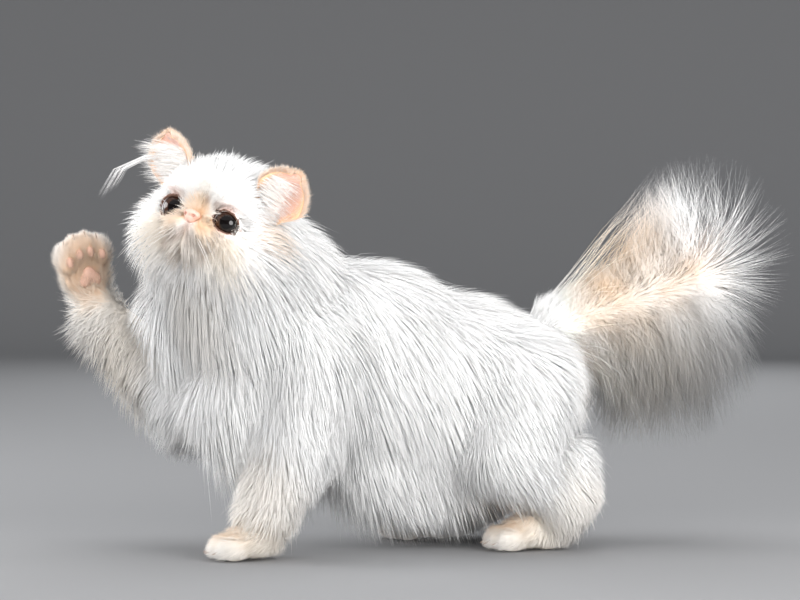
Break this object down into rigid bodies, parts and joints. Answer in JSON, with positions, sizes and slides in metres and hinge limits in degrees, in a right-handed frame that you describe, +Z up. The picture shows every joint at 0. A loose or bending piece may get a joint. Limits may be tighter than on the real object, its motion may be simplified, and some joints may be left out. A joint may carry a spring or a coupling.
{
  "type": "persian cat model",
  "caption": "Life-size flat-faced long-haired cat standing on its feet, one forepaw lifted, head turned aside and up, tail a raised plume.",
  "frame": {"origin": "on the floor, under the middle of the model's box", "axes": "+Z up, -X the way the cat walks, -Y the cat's left side and the way it looks"},
  "size_m": [0.6492, 0.266, 0.3611],
  "materials": {
    "white_coat": "long soft fur",
    "apricot_coat": "long soft fur",
    "eye": "clear wet gloss",
    "nose_leather": "matt skin",
    "paw_pad": "matt skin",
    "claw": "smooth horn"
  },
  "bodies": {
    "root": {"belly": "white_coat", "chest": "white_coat", "claw_fore_left_1": "claw", "claw_fore_left_2": "claw", "claw_fore_left_3": "claw", "claw_fore_left_4": "claw", "claw_fore_right_1": "claw", "claw_fore_right_2": "claw", "claw_fore_right_3": "claw", "claw_fore_right_4": "claw", "claw_hind_left_1": "claw", "claw_hind_left_2": "claw", "claw_hind_left_3": "claw", "claw_hind_left_4": "claw", "claw_hind_right_1": "claw", "claw_hind_right_2": "claw", "claw_hind_right_3": "claw", "claw_hind_right_4": "claw", "ear_left": "apricot_coat", "ear_right": "apricot_coat", "eye_left": "eye", "eye_right": "eye", "forearm_left": "white_coat", "forearm_right": "white_coat", "forepaw_left": "apricot_coat", "forepaw_right": "apricot_coat", "head": "white_coat", "hindpaw_left": "apricot_coat", "hindpaw_right": "apricot_coat", "muzzle": "white_coat", "neck": "white_coat", "nose": "nose_leather", "pad_palm": "paw_pad", "pad_toe_1": "paw_pad", "pad_toe_2": "paw_pad", "pad_toe_3": "paw_pad", "pad_toe_4": "paw_pad", "rump": "white_coat", "shank_left": "white_coat", "shank_right": "white_coat", "tail_base": "apricot_coat", "tail_middle": "apricot_coat", "tail_tip": "apricot_coat", "thigh_left": "white_coat", "thigh_right": "white_coat", "upper_foreleg_left": "white_coat", "upper_foreleg_right": "white_coat"}
  },
  "joints": []
}
